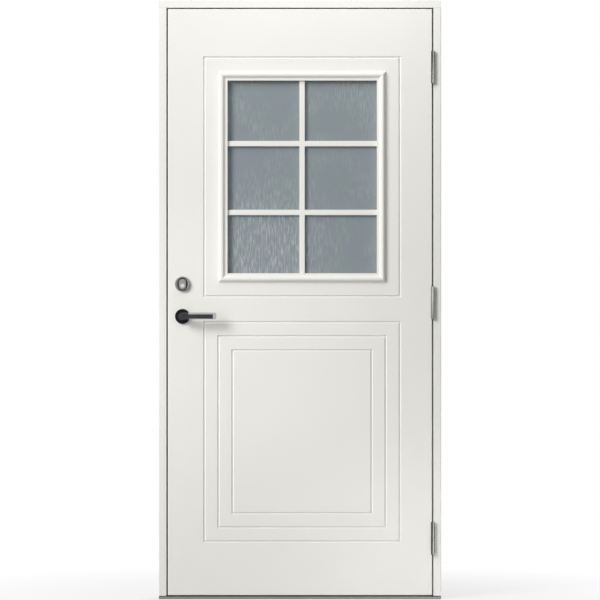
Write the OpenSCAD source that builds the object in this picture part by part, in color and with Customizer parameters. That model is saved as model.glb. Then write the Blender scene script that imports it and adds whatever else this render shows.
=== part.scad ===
// Exterior door in its frame, hung on the right and opening towards the viewer.
// Millimetres. +X is right seen from outside, +Y goes into the wall, +Z is up.
// The origin is the middle of the sill's underside, at mid thickness of the leaf.

/* [Frame] */
// Overall width of the frame
frame_w = 980; // [880:10:1180]
// Overall height of the frame
frame_h = 2080; // [2060:10:2380]
// Depth of the frame through the wall
frame_d = 105; // [95:1:150]
// Face of the frame that shows beside and above the leaf
frame_face = 26.5; // [24:0.5:40]
// Width of the stop that the leaf closes against
stop_w = 15.5; // [13:0.5:22]
// Space between the closed leaf and the stop
seal_gap = 8; // [6:0.5:12]
// Height of the sill in front of the leaf
sill_h = 9; // [6:0.5:20]
// Thickness of the rubber pad under each jamb
pad_t = 3; // [2:0.5:6]
// Thickness of the sill's metal cover
cover_t = 2; // [1:0.5:3]
// Outer radius of a fixing sleeve
sleeve_r = 7; // [6:0.5:9]
// Bore radius of a fixing sleeve
sleeve_bore_r = 4.5; // [3:0.5:5]
// Distance of the end sleeves from the top and bottom of the frame
sleeve_end = 290; // [150:10:400]
// Rounding of the frame's outer edges, as a flat
frame_arris = 1.5; // [0.5:0.5:3]

/* [Leaf] */
// Thickness of the leaf
leaf_t = 62; // [58:1:70]
// Thickness of each skin
skin_t = 9; // [7:0.5:12]
// Rounding of the leaf's outer edges
leaf_arris = 3; // [1:0.5:5]
// Gap at each side of the leaf
side_gap = 4.5; // [4.5:0.5:6]
// Gap above the leaf
top_gap = 4; // [3:0.5:6]
// Gap below the leaf
bottom_gap = 4.5; // [3:0.5:8]
// Width of the stile that holds the lock
lock_stile_w = 105; // [95:1:115]
// Width of the stile that holds the hinges
hinge_stile_w = 70; // [50:1:90]
// Height of the top rail
top_rail_h = 110; // [80:1:150]
// Height of the rail between window and lower panel
mid_rail_h = 80; // [60:1:86]
// Height of the bottom rail
bottom_rail_h = 130; // [90:1:170]

/* [Panels] */
// Middle of the window and panels, right of the middle of the leaf
design_x = 7.5; // [-20:0.5:20]
// Width of a V-groove
groove_w = 9; // [6:0.5:14]
// Depth of a V-groove
groove_d = 5; // [2:0.5:6]
// Margin between the window moulding and the groove round it
groove_margin = 48; // [30:1:60]
// Distance between the upper groove and the lower panel
panel_gap = 90; // [60:1:120]
// Distance from the bottom of the leaf to the lower panel
panel_foot = 187; // [140:0.5:240]
// Distance between the nested grooves
groove_pitch = 49; // [30:1:70]
// Number of nested grooves in the lower panel
groove_count = 3; // [1:1:4]

/* [Window] */
// Width of the glass that shows
sight_w = 518.5; // [400:0.5:540]
// Height of the glass that shows
sight_h = 669; // [500:1:700]
// Distance from the top of the leaf to the glass that shows
sight_drop = 248.5; // [220:0.5:300]
// Width of the moulding that shows
bead_w = 32; // [30:0.5:40]
// How far the moulding laps over the leaf
bead_lap = 15; // [12:0.5:18]
// Height of the moulding's ridge above the leaf
bead_h = 15.5; // [9:0.5:18]
// Distance from the moulding's outer edge to its ridge
bead_ridge = 12; // [8:0.5:16]
// Width of the flat lip between the moulding and the glass
bead_lip = 6; // [3:0.5:9]
// Height of that lip above the leaf
lip_h = 7.5; // [2:0.5:9]
// Thickness of one pane
pane_t = 4; // [3:0.5:6]
// Width of each cavity between panes
cavity_t = 12; // [8:0.5:14]
// Space round the edge of the glass
glass_play = 3; // [2:0.5:5]
// Thickness of the bedding tape
tape_t = 1.5; // [1:0.25:3]
// Thickness of the timber lining round the window
lining_t = 30; // [20:1:36]
// Width of a glazing bar
bar_w = 18.5; // [14:0.5:30]
// Height of a glazing bar above the glass
bar_h = 12; // [6:0.5:18]
// Middle of the upper glazing bar below the top of the glass
bar_upper = 219; // [150:1:260]
// Middle of the lower glazing bar below the top of the glass
bar_lower = 458; // [320:1:560]

/* [Hinges] */
// Radius of a hinge barrel
barrel_r = 6.5; // [6:0.1:7.5]
// Length of one knuckle
knuckle_h = 55.5; // [45:0.5:70]
// Radius of a hinge pin
pin_r = 4; // [3:0.1:4.5]
// Distance of the pin axis in front of the leaf
pin_out = 8; // [7:0.5:12]
// Thickness of a hinge plate
plate_t = 3; // [2:0.1:3.4]
// How deep a plate is let into the wood
plate_sink = 1.5; // [1.2:0.1:2]
// Depth of a plate along the edge of the leaf
plate_d = 32; // [28:1:40]
// Thickness of the bearing washer
washer_t = 2; // [1:0.5:4]
// Distance from the bottom of the leaf to the bottom hinge
hinge_foot = 198.5; // [130:0.5:300]
// Distance from the top of the leaf to the top hinge
hinge_drop = 202.5; // [130:0.5:300]

/* [Lock] */
// Height of the handle
handle_z = 982; // [900:1:1050]
// Distance between the handle and the lock cylinder
lock_pitch = 107; // [96:1:115]
// Distance from the edge of the leaf to the handle
backset = 51; // [45:1:54]
// Depth of the lock case from the edge of the leaf
case_d = 87; // [84:1:92]
// Thickness of the lock case
case_t = 18; // [17:0.5:22]
// Thickness of the faceplate and the strike plate
forend_t = 3; // [2:0.5:4]
// Width of the faceplate
forend_w = 22; // [20:0.5:26]
// Thickness of the bolts
bolt_t = 12; // [8:0.5:12.5]
// Height of the latch bolt
latch_h = 18; // [12:1:20]
// Height of the latch above the handle
latch_up = 38; // [34:1:46]
// Travel of the latch
latch_throw = 12; // [8:1:14]
// Height of the dead bolt
dead_h = 20; // [16:1:22]
// Travel of the dead bolt
dead_throw = 20; // [16:1:20]

/* [Furniture] */
// Radius of the handle rosettes
rosette_r = 26; // [24:0.5:30]
// Thickness of the rosettes
rosette_t = 9; // [7:0.5:12]
// Radius of a lever's neck
neck_r = 10; // [8:0.5:11]
// Distance from the leaf to the front of a lever
lever_out = 58; // [50:1:70]
// Length of a lever from its axis
lever_l = 119; // [100:1:125]
// Height of a lever's bar
lever_h = 23; // [18:0.5:24]
// Thickness of a lever's bar
lever_t = 12; // [10:0.5:16]
// Radius of a lever's round head
head_r = 12.5; // [12.5:0.5:16]
// Height of the dark inlay in a lever
inlay_h = 15; // [10:0.5:15]
// How far the middle of a lever's bar lies above its axis
bar_rise = 2; // [0:0.5:2.5]
// Length of the bare end of a lever
lever_cap = 12; // [4:0.5:20]
// Side of the square spindle
spindle_s = 8; // [7:0.5:9]
// Radius of the ring round the lock cylinder
ring_r = 27; // [25:0.5:30]
// Height of the recessed ring round the lock cylinder
ring_t = 12; // [8:0.5:16]
// Width of the oval lock cylinder
oval_w = 24; // [20:0.5:28]
// Height of the oval lock cylinder
oval_h = 36; // [30:0.5:38]
// Radius of the key plug
plug_r = 7; // [5:0.5:8]
// Height of the oval's middle above the key plug
plug_drop = 5; // [3:0.5:6]

/* [Hidden] */
$fn = 48;

// Colours of the finishes
paint = [0.95, 0.95, 0.93];
timber = [0.78, 0.62, 0.42];
steel = [0.72, 0.72, 0.74];
chrome = [0.85, 0.85, 0.87];
black = [0.16, 0.16, 0.18];

// Clearances: overlap of a cut, a moving piece, a running fit, a fixed fit
cut = 1;
fit = 0.3;
slip = 0.05;
snug = 0.1;

// Planes of the frame and the leaf
face_y = -leaf_t / 2;
back_y = face_y + frame_d;
stop_y = leaf_t / 2 + seal_gap;
rebate_x = frame_w / 2 - frame_face;
stop_x = rebate_x - stop_w;
head_z = frame_h - frame_face;
stop_head_z = head_z - stop_w;
leaf_w = 2 * (rebate_x - side_gap);
foot_z = sill_h + pad_t;
leaf_z0 = sill_h + bottom_gap;
leaf_z1 = head_z - top_gap;
leaf_h = leaf_z1 - leaf_z0;
upstand_z = leaf_z0 + stop_w;
core_t = leaf_t - 2 * skin_t;
lock_x = -leaf_w / 2;
stile_x0 = lock_x + lock_stile_w;
stile_x1 = leaf_w / 2 - hinge_stile_w;

// Window: middle, moulding, opening and glass
sight_z = leaf_z1 - sight_drop - sight_h / 2;
bead_box = [sight_w + 2 * bead_w, sight_h + 2 * bead_w];
opening = [bead_box[0] - 2 * bead_lap, bead_box[1] - 2 * bead_lap];
glass = [opening[0] - 2 * glass_play, opening[1] - 2 * glass_play];
unit_t = 3 * pane_t + 2 * cavity_t;
bead_edge = 2;
bead_crown = 4;
bead_back = leaf_t / 2 - unit_t / 2 - tape_t;
curve_steps = 8;
tape_w = 10;
spacer_inset = 2;
spacer_w = 9;
block_l = 100;
bar_chamfer = 1;

// Groove rectangles, measured on their centre lines
upper_groove = [bead_box[0] + 2 * groove_margin, bead_box[1] + 2 * groove_margin];
panel_top = sight_z - upper_groove[1] / 2 - panel_gap;
panel_h = panel_top - leaf_z0 - panel_foot;
mid_rail_z = panel_top + panel_gap / 2 - mid_rail_h / 2;

// Weather seal: distance of its middle from the edge of the stop, wall, foot, and inset of the pads
seal_in = 6;
seal_wall = 1.2;
seal_foot = 9;
seal_foot_t = 1.6;
pad_in = 1;
pad_d = stop_y - face_y - pad_in;
seal_sunk = seal_foot_t / 2;
seal_r = (seal_gap - fit - seal_sunk) / 2;

// Hinges
pin_x = leaf_w / 2 + side_gap / 2;
pin_y = face_y - pin_out;
plate_x = -side_gap / 2 - plate_sink;
hinge_rise = washer_t / 2 + snug;
barrel_cap = 3;
barrel_chamfer = 0.8;
hinge_low = leaf_z0 + hinge_foot;
hinge_high = leaf_z1 - hinge_drop;
hinge_mid = (hinge_low + hinge_high) / 2;
hinge_heights = [hinge_low, hinge_mid, hinge_high];

// Screws: head, shank, head height, length
screw_head_r = 4;
shank_r = 2;
screw_head_t = 2;
screw_spare = 5;
screw_l = frame_face - screw_spare;
screw_places = [[15, 0.2], [25, 0.5], [15, 0.8]];

// Fixing sleeves
sleeve_count = 4;
sleeve_y = (stop_y + back_y) / 2;
sleeve_pitch = (frame_h - 2 * sleeve_end) / (sleeve_count - 1);
sleeve_heights = [for (i = [0 : sleeve_count - 1]) sleeve_end + i * sleeve_pitch];

// Lock: axes, case and bolts
spindle_x = lock_x + backset;
cyl_z = handle_z + lock_pitch;
case_x = lock_x + forend_t;
case_below = 60;
case_above = 45;
case_z0 = handle_z - case_below;
case_z1 = cyl_z + case_above;
forend_end = 24;
latch_z = handle_z + latch_up;
latch_l = 38;
dead_l = 26;
cam_turn = 90;
cam_r = dead_throw / 2 / sin(cam_turn / 2);
cam_x = dead_throw / 2;
cam_pin_r = 2.5;
cam_hub_r = 9;
cam_t = 3;
cam_y = 3.4;
tail_t = 5.8;
tail_h = 15;
tail_up = 6;
tail_z = cyl_z + tail_up;
tail_slack = 1.4;
tail_end = 9;
tail_root = 2;
follower_r = 11;
bolt_spread = 19;
bolt_r = 2;
bolt_bite = 6;
pocket_spare = 3;
strike_w = 25;
turn_r = 6;
turn_shaft_r = 5;
turn_square = 6;
turn_boss_r = 14;
turn_boss_t = 4;
wing_w = 9;
wing_h = 34;
wing_l = 18;
wing_round = 4;

// Lever
bar_y = face_y - lever_out + lever_t / 2;
lever_round = 3;
tip_round = 6;
head_edge = 1;
head_rise = 30;
inlay_t = 1.5;
neck_in = 7;
socket_l = 17;
spindle_l = 2 * (-face_y + socket_l);
rosette_round = 3;
round_steps = 4;
ring_taper = 3;
ring_foot = 2;
ring_rim = 1;
ring_floor = 4;
ring_spare = 3.5;
ring_floor_r = oval_h / 2 + ring_spare;
plug_l = 28;
plug_proud = 0.5;
face_inset = 1;
key_w = 2;
key_h = 9;
key_l = 15;

// Basic shapes

function ogee(a, b, n) = [
    for (i = [0 : n]) [a[0] + (b[0] - a[0]) * i / n, a[1] + (b[1] - a[1]) * (1 - cos(180 * i / n)) / 2]
];

function arc(c, r, a0, a1, n) = [
    for (i = [0 : n]) [c[0] + r * cos(a0 + (a1 - a0) * i / n), c[1] + r * sin(a0 + (a1 - a0) * i / n)]
];

// Box between two corners
module box(a, b) {
    translate(a)
        cube(b - a);
}

// Profile in Y and Z, drawn out along X about the middle
module along_x(len) {
    rotate([90, 0, 90])
        linear_extrude(len, center = true)
            children();
}

// Profile in X and Z, drawn out from y0 to y1
module along_y(y0, y1) {
    translate([0, y1, 0])
        rotate([90, 0, 0])
            linear_extrude(y1 - y0)
                children();
}

// Round bar along Y
module y_bar(r, y0, y1) {
    translate([0, y1, 0])
        rotate([90, 0, 0])
            cylinder(r = r, h = y1 - y0);
}

// Turned shape that stands on the outer face of the leaf, radius and height
module turned_out() {
    translate([0, face_y, 0])
        rotate([90, 0, 0])
            rotate_extrude()
                children();
}

module inside() {
    mirror([0, 1, 0])
        children();
}

// Rectangle with round corners, from circles and squares
module round_rect(w, h, r) {
    square([w - 2 * r, h], center = true);
    square([w, h - 2 * r], center = true);
    for (x = [-1, 1], y = [-1, 1])
        translate([x * (w / 2 - r), y * (h / 2 - r)])
            circle(r);
}

// Length of moulding along X, mitred at both ends: profile x runs inwards, y runs outwards
module mitred_side(len, depth, reach) {
    intersection() {
        rotate([180, -90, 0])
            linear_extrude(len, center = true)
                children();
        rotate([90, 0, 0])
            linear_extrude(2 * reach, center = true)
                polygon([[-len / 2, 0], [len / 2, 0], [len / 2 - depth, depth], [depth - len / 2, depth]]);
    }
}

// One side of a mitred rectangle: 0 bottom, 1 left, 2 top, 3 right
module ring_side(size, i, depth, reach) {
    even = i % 2 == 0;
    rotate([0, 90 * i, 0])
        translate([0, 0, -size[even ? 1 : 0] / 2])
            mitred_side(size[even ? 0 : 1], depth, reach)
                children();
}

module mitred_ring(size, depth, reach) {
    for (i = [0 : 3])
        ring_side(size, i, depth, reach)
            children();
}

// Flat ring of rectangular section between y0 and y1
module flat_ring(size, w, y0, y1) {
    along_y(y0, y1)
        difference() {
            square(size, center = true);
            square([size[0] - 2 * w, size[1] - 2 * w], center = true);
        }
}

module at_window() {
    translate([design_x, 0, sight_z])
        children();
}

module at_handle() {
    translate([spindle_x, 0, handle_z])
        children();
}

module at_cylinder() {
    translate([spindle_x, 0, cyl_z])
        children();
}

// Frame

// Jamb on the hinge side, standing on its pad and cut out for the sill's upstand and the head's stop
module jamb_blank() {
    difference() {
        translate([0, 0, foot_z])
            linear_extrude(head_z - foot_z)
                polygon([
                    [frame_w / 2 - frame_arris, face_y], [frame_w / 2, face_y + frame_arris],
                    [frame_w / 2, back_y], [stop_x, back_y], [stop_x, stop_y], [rebate_x, stop_y],
                    [rebate_x, face_y + frame_arris], [rebate_x + frame_arris, face_y]
                ]);
        box([stop_x - cut, stop_y, foot_z - cut], [frame_w / 2 + cut, back_y + cut, upstand_z]);
        box([stop_x - cut, stop_y - cut, stop_head_z], [rebate_x, back_y + cut, head_z + cut]);
        for (z = sleeve_heights)
            translate([stop_x - cut, sleeve_y, z])
                rotate([0, 90, 0])
                    cylinder(r = sleeve_r + slip, h = frame_w / 2 - stop_x + 2 * cut);
    }
}

module head_jamb() {
    color(paint) {
        along_x(frame_w)
            polygon([
                [face_y + frame_arris, frame_h], [back_y, frame_h], [back_y, head_z],
                [face_y + frame_arris, head_z], [face_y, head_z + frame_arris],
                [face_y, frame_h - frame_arris]
            ]);
        box([-rebate_x, stop_y, stop_head_z], [rebate_x, back_y, head_z]);
    }
}

module hinge_jamb() {
    color(paint)
        difference() {
            jamb_blank();
            for (z = hinge_heights) {
                translate([rebate_x, face_y - cut, z - hinge_rise - knuckle_h])
                    cube([plate_sink, plate_d + cut, knuckle_h]);
                at_frame_screws(z)
                    screw(snug);
            }
        }
}

module lock_jamb() {
    color(paint)
        difference() {
            mirror([1, 0, 0])
                jamb_blank();
            strike_blank(cut);
            bolt_pocket(latch_z, latch_h, latch_throw);
            bolt_pocket(cyl_z, dead_h, dead_throw);
            at_strike_screws()
                screw(snug);
        }
}

module sill_core() {
    color(timber)
        along_x(frame_w)
            polygon([
                [face_y + cover_t, 0], [back_y, 0], [back_y, upstand_z - cover_t],
                [stop_y + cover_t, upstand_z - cover_t], [stop_y + cover_t, sill_h - cover_t],
                [face_y + cover_t, sill_h - cover_t]
            ]);
}

module sill_cover() {
    color(steel)
        along_x(frame_w)
            polygon([
                [face_y, 0], [face_y + cover_t, 0], [face_y + cover_t, sill_h - cover_t],
                [stop_y + cover_t, sill_h - cover_t], [stop_y + cover_t, upstand_z - cover_t],
                [back_y, upstand_z - cover_t], [back_y, upstand_z], [stop_y, upstand_z],
                [stop_y, sill_h], [face_y, sill_h]
            ]);
}

// Hollow bulb on a flat foot, mitred at the corners of the stop, and a pad under each jamb
module weather_seal() {
    size = [2 * (stop_x + seal_in + seal_foot / 2), stop_head_z - upstand_z + 2 * seal_in + seal_foot];
    color(black) {
        translate([0, stop_y, (stop_head_z + upstand_z) / 2])
            mitred_ring(size, seal_foot, seal_gap)
                difference() {
                    union() {
                        square([seal_foot, seal_foot_t]);
                        translate([seal_foot / 2, seal_sunk + seal_r])
                            circle(seal_r);
                    }
                    translate([seal_foot / 2, seal_sunk + seal_r])
                        circle(seal_r - seal_wall);
                }
        for (side = [-1, 1])
            translate([side * (frame_w - frame_face) / 2, stop_y - pad_d / 2, sill_h + pad_t / 2])
                cube([frame_face - 2 * pad_in, pad_d, pad_t], center = true);
    }
}

module strike_blank(extra) {
    box([-rebate_x - forend_t, -strike_w / 2, case_z0 - forend_end],
        [-rebate_x + extra, strike_w / 2, case_z1 + forend_end]);
}

// Hole in the strike plate and jamb that takes a thrown bolt
module bolt_pocket(z, h, throw) {
    box([lock_x - throw - pocket_spare, -bolt_t / 2 - cut, z - h / 2 - cut],
        [-rebate_x + cut, bolt_t / 2 + cut, z + h / 2 + cut]);
}

module strike_plate() {
    color(steel)
        difference() {
            strike_blank(0);
            bolt_pocket(latch_z, latch_h, latch_throw);
            bolt_pocket(cyl_z, dead_h, dead_throw);
            at_strike_screws()
                screw(snug);
        }
}

module fixing_sleeves() {
    color(steel)
        for (side = [-1, 1], z = sleeve_heights)
            translate([side * (stop_x + frame_w / 2) / 2, sleeve_y, z])
                rotate([0, 90, 0])
                    difference() {
                        cylinder(r = sleeve_r, h = frame_w / 2 - stop_x, center = true);
                        cylinder(r = sleeve_bore_r, h = frame_w, center = true);
                    }
}

// Countersunk screw, head at the origin, pointing along -X
module screw(extra) {
    rotate([0, -90, 0])
        rotate_extrude()
            polygon([
                [0, 0], [screw_head_r + extra, 0], [shank_r + extra, screw_head_t],
                [shank_r + extra, screw_l + extra], [0, screw_l + extra]
            ]);
}

module at_leaf_screws(z) {
    for (p = screw_places)
        translate([leaf_w / 2 - plate_sink + plate_t, face_y + p[0], z + hinge_rise + p[1] * knuckle_h])
            children();
}

module at_frame_screws(z) {
    for (p = screw_places)
        translate([rebate_x + plate_sink - plate_t, face_y + p[0], z - hinge_rise - p[1] * knuckle_h])
            mirror([1, 0, 0])
                children();
}

module at_strike_screws() {
    for (z = [case_z0 - forend_end / 2, case_z1 + forend_end / 2])
        translate([-rebate_x, 0, z])
            children();
}

module at_forend_screws() {
    for (z = [case_z0 - forend_end / 2, case_z1 + forend_end / 2])
        translate([lock_x, 0, z])
            mirror([1, 0, 0])
                children();
}

module frame_fasteners() {
    color(steel) {
        for (z = hinge_heights)
            at_frame_screws(z)
                screw(0);
        at_strike_screws()
            screw(0);
    }
}

// Hinges

// Upper half of a lift-off hinge: the pin axis is Z, the plate lies behind it
module hinge_flag(clearance) {
    difference() {
        union() {
            rotate_extrude()
                polygon([
                    [0, 0], [barrel_r, 0], [barrel_r, knuckle_h - barrel_chamfer],
                    [barrel_r - barrel_chamfer, knuckle_h], [0, knuckle_h]
                ]);
            translate([plate_x, 0, 0])
                cube([plate_t, pin_out + plate_d, knuckle_h]);
        }
        translate([0, 0, -cut])
            cylinder(r = pin_r + clearance, h = knuckle_h - barrel_cap + cut);
    }
}

module hinge_leaf_half(z) {
    color(steel)
        difference() {
            translate([pin_x, pin_y, z + hinge_rise])
                hinge_flag(slip);
            at_leaf_screws(z)
                screw(snug);
        }
}

module hinge_frame_half(z) {
    color(steel)
        difference() {
            translate([pin_x, pin_y, z - hinge_rise])
                rotate([0, 180, 0])
                    hinge_flag(snug / 5);
            at_frame_screws(z)
                screw(snug);
        }
}

module hinge_pins() {
    half = hinge_rise + knuckle_h - barrel_cap;
    color(chrome)
        for (z = hinge_heights)
            translate([pin_x, pin_y, z - half])
                cylinder(r = pin_r, h = 2 * half - cut);
}

module hinge_washers() {
    color(steel)
        for (z = hinge_heights)
            translate([pin_x, pin_y, z])
                difference() {
                    cylinder(r = barrel_r, h = washer_t, center = true);
                    cylinder(r = pin_r + slip, h = 2 * washer_t, center = true);
                }
}

// Leaf

// Routed line with straight V sides, mitred at the corners, measured on its centre line
module groove_ring(size, z) {
    translate([design_x, face_y, z])
        mitred_ring([size[0] + groove_w, size[1] + groove_w], groove_w, groove_d + cut)
            polygon([
                [0, 0], [groove_w / 2, -groove_d], [groove_w, 0], [groove_w, cut], [0, cut]
            ]);
}

module grooves() {
    groove_ring(upper_groove, sight_z);
    for (i = [0 : groove_count - 1])
        groove_ring([upper_groove[0] - 2 * i * groove_pitch, panel_h - 2 * i * groove_pitch],
            panel_top - panel_h / 2);
}

// What is taken off the outer edges of the leaf to round them
module edge_rounding() {
    translate([0, face_y, (leaf_z0 + leaf_z1) / 2])
        mitred_ring([leaf_w, leaf_h], leaf_arris, 2 * leaf_arris)
            polygon(concat([[0, 0]], arc([leaf_arris, -leaf_arris], leaf_arris, 90, 180, round_steps)));
}

// Milled board on the outer face of the leaf
module skin() {
    difference() {
        box([-leaf_w / 2, face_y, leaf_z0], [leaf_w / 2, face_y + skin_t, leaf_z1]);
        at_window()
            along_y(face_y - cut, face_y + skin_t + cut)
                square(opening, center = true);
        grooves();
        edge_rounding();
        at_handle()
            handle_holes();
    }
}

// Holes for a lever's neck and the two through bolts
module handle_holes() {
    y_bar(neck_r + cut, -leaf_t, leaf_t);
    for (side = [-1, 1])
        translate([0, 0, side * bolt_spread])
            y_bar(bolt_r + snug, -leaf_t, leaf_t);
}

module turn_hole() {
    at_cylinder()
        y_bar(turn_shaft_r + cut, 0, leaf_t);
}

module oval(extra) {
    r = oval_w / 2 + extra;
    half = (oval_h - oval_w) / 2;
    translate([0, plug_drop]) {
        square([2 * r, 2 * half], center = true);
        for (side = [-1, 1])
            translate([0, side * half])
                circle(r);
    }
}

module cylinder_hole() {
    at_cylinder()
        along_y(-leaf_t, 0)
            oval(snug);
}

module hinge_mortises() {
    for (z = hinge_heights) {
        translate([leaf_w / 2 - plate_sink, face_y - cut, z + hinge_rise])
            cube([plate_sink + cut, plate_d + cut, knuckle_h]);
        at_leaf_screws(z)
            screw(snug);
    }
}

module outer_skin() {
    color(paint)
        difference() {
            skin();
            cylinder_hole();
            hinge_mortises();
        }
}

module inner_skin() {
    color(paint)
        difference() {
            inside()
                skin();
            turn_hole();
        }
}

module lock_stile() {
    color(timber)
        difference() {
            box([lock_x, -core_t / 2, leaf_z0], [stile_x0, core_t / 2, leaf_z1]);
            box([lock_x - cut, -case_t / 2 - snug, case_z0 - snug],
                [lock_x + case_d + snug, case_t / 2 + snug, case_z1 + snug]);
            forend_blank(cut, snug);
            at_forend_screws()
                screw(snug);
            at_handle()
                handle_holes();
            cylinder_hole();
            turn_hole();
        }
}

module hinge_stile() {
    color(timber)
        difference() {
            box([stile_x1, -core_t / 2, leaf_z0], [leaf_w / 2, core_t / 2, leaf_z1]);
            hinge_mortises();
        }
}

module rail(z0, z1) {
    color(timber)
        box([stile_x0, -core_t / 2, z0], [stile_x1, core_t / 2, z1]);
}

module top_rail() {
    rail(leaf_z1 - top_rail_h, leaf_z1);
}

module mid_rail() {
    rail(mid_rail_z, mid_rail_z + mid_rail_h);
}

module bottom_rail() {
    rail(leaf_z0, leaf_z0 + bottom_rail_h);
}

module window_lining() {
    color(timber)
        at_window()
            flat_ring([opening[0] + 2 * lining_t, opening[1] + 2 * lining_t], lining_t,
                -core_t / 2, core_t / 2);
}

module insulation() {
    color([0.93, 0.9, 0.8])
        difference() {
            union() {
                box([stile_x0, -core_t / 2, mid_rail_z + mid_rail_h],
                    [stile_x1, core_t / 2, leaf_z1 - top_rail_h]);
                box([stile_x0, -core_t / 2, leaf_z0 + bottom_rail_h], [stile_x1, core_t / 2, mid_rail_z]);
            }
            at_window()
                along_y(-leaf_t, leaf_t)
                    square([opening[0] + 2 * lining_t, opening[1] + 2 * lining_t], center = true);
        }
}

// Window

// Section of the moulding: ogee up to a flat crown, ogee down to a flat lip, leg down to the glass
module bead_section() {
    rise = ogee([0, bead_edge], [bead_ridge - bead_crown / 2, bead_h], curve_steps);
    fall = ogee([bead_ridge + bead_crown / 2, bead_h], [bead_w - bead_lip, lip_h], curve_steps);
    polygon(concat(
        [[0, 0]], rise, fall,
        [[bead_w, lip_h], [bead_w, -bead_back], [bead_lap + snug, -bead_back], [bead_lap + snug, 0]]
    ));
}

module bead(i) {
    color(paint)
        translate([design_x, face_y, sight_z])
            ring_side(bead_box, i, bead_w, leaf_t)
                bead_section();
}

module inner_bead(i) {
    inside()
        bead(i);
}

// Bar along Y-facing side of the glass, chamfered on its front edges
module bar(len) {
    rotate([180, -90, 0])
        linear_extrude(len, center = true)
            polygon([
                [-bar_w / 2, 0], [bar_w / 2, 0], [bar_w / 2, bar_h - bar_chamfer],
                [bar_w / 2 - bar_chamfer, bar_h], [bar_chamfer - bar_w / 2, bar_h],
                [-bar_w / 2, bar_h - bar_chamfer]
            ]);
}

module muntin_grille() {
    color(paint)
        translate([design_x, -unit_t / 2, sight_z]) {
            rotate([0, 90, 0])
                bar(sight_h - 2 * snug);
            for (drop = [bar_upper, bar_lower])
                translate([0, 0, sight_h / 2 - drop])
                    bar(sight_w - 2 * snug);
        }
}

module inner_muntin_grille() {
    inside()
        muntin_grille();
}

module pane(i) {
    y = (i - 1) * (pane_t + cavity_t);
    color([0.6, 0.65, 0.68])
        at_window()
            along_y(y - pane_t / 2, y + pane_t / 2)
                square(glass, center = true);
}

module pane_spacers() {
    size = [glass[0] - 2 * spacer_inset, glass[1] - 2 * spacer_inset];
    color(steel)
        at_window()
            for (side = [-1, 1])
                flat_ring(size, spacer_w, side * (pane_t + cavity_t) / 2 - cavity_t / 2,
                    side * (pane_t + cavity_t) / 2 + cavity_t / 2);
}

module glazing_tape() {
    color(black)
        at_window() {
            flat_ring(glass, tape_w, -unit_t / 2 - tape_t, -unit_t / 2);
            flat_ring(glass, tape_w, unit_t / 2, unit_t / 2 + tape_t);
        }
}

module setting_blocks() {
    color(black)
        for (side = [-1, 1])
            translate([design_x + side * glass[0] / 4, 0, sight_z - opening[1] / 2 + glass_play / 2])
                cube([block_l, unit_t, glass_play], center = true);
}

// Lock

module forend_blank(front, side) {
    box([lock_x - front, -forend_w / 2 - side, case_z0 - forend_end - side],
        [case_x, forend_w / 2 + side, case_z1 + forend_end + side]);
}

// Channel that a bolt slides in, from the edge of the leaf to x1
module bolt_channel(z, h, x1) {
    box([lock_x - cut, -bolt_t / 2 - fit, z - h / 2 - fit], [x1 + fit, bolt_t / 2 + fit, z + h / 2 + fit]);
}

module lock_case() {
    tail_x0 = lock_x + dead_l - dead_throw - tail_root;
    tail_x1 = spindle_x + cam_x + tail_end;
    color(steel)
        difference() {
            box([case_x, -case_t / 2, case_z0], [lock_x + case_d, case_t / 2, case_z1]);
            bolt_channel(latch_z, latch_h, lock_x + latch_l);
            bolt_channel(cyl_z, dead_h, lock_x + dead_l);
            box([tail_x0 - fit, -tail_t / 2 - fit, tail_z - fit],
                [tail_x1 + fit, tail_t / 2 + fit, tail_z + tail_h + fit]);
            at_handle() {
                y_bar(follower_r + slip, -case_t, case_t);
                for (side = [-1, 1])
                    translate([0, 0, side * bolt_spread])
                        y_bar(bolt_r + snug, -case_t, case_t);
            }
            at_cylinder() {
                y_bar(cam_r + cam_pin_r + cut, -tail_t / 2 - fit, cam_y + cam_t + fit);
                y_bar(turn_shaft_r + fit, 0, case_t);
            }
        }
}

module lock_faceplate() {
    color(steel)
        difference() {
            forend_blank(0, 0);
            bolt_channel(latch_z, latch_h, lock_x + latch_l);
            bolt_channel(cyl_z, dead_h, lock_x + dead_l);
            at_forend_screws()
                screw(snug);
        }
}

module leaf_fasteners() {
    reach = leaf_t / 2 + bolt_bite;
    color(steel) {
        for (z = hinge_heights)
            at_leaf_screws(z)
                screw(0);
        at_forend_screws()
            screw(0);
        at_handle()
            for (side = [-1, 1])
                translate([0, 0, side * bolt_spread])
                    y_bar(bolt_r, -reach, reach);
    }
}

// Latch held back flush with the faceplate, bevelled on the side that meets the strike
module latch_bolt() {
    color(chrome)
        translate([0, 0, latch_z - latch_h / 2])
            linear_extrude(latch_h)
                polygon([
                    [lock_x + fit, -bolt_t / 2], [lock_x + latch_l, -bolt_t / 2],
                    [lock_x + latch_l, bolt_t / 2], [lock_x + latch_throw, bolt_t / 2],
                    [lock_x + fit, -bolt_t / 4]
                ]);
}

// Dead bolt drawn back, with a slotted tail for the cam's pin
module dead_bolt() {
    pin_at = spindle_x + cam_x;
    color(chrome)
        difference() {
            union() {
                box([lock_x + fit, -bolt_t / 2, cyl_z - dead_h / 2],
                    [lock_x + dead_l, bolt_t / 2, cyl_z + dead_h / 2]);
                box([lock_x + dead_l - tail_root, -tail_t / 2, tail_z],
                    [pin_at + tail_end, tail_t / 2, tail_z + tail_h]);
            }
            box([pin_at - cam_pin_r - tail_slack / 2, -tail_t, tail_z - cut],
                [pin_at + cam_pin_r + tail_slack / 2, tail_t, cyl_z + cam_r + cam_pin_r + cut / 2]);
        }
}

// Furniture

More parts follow.
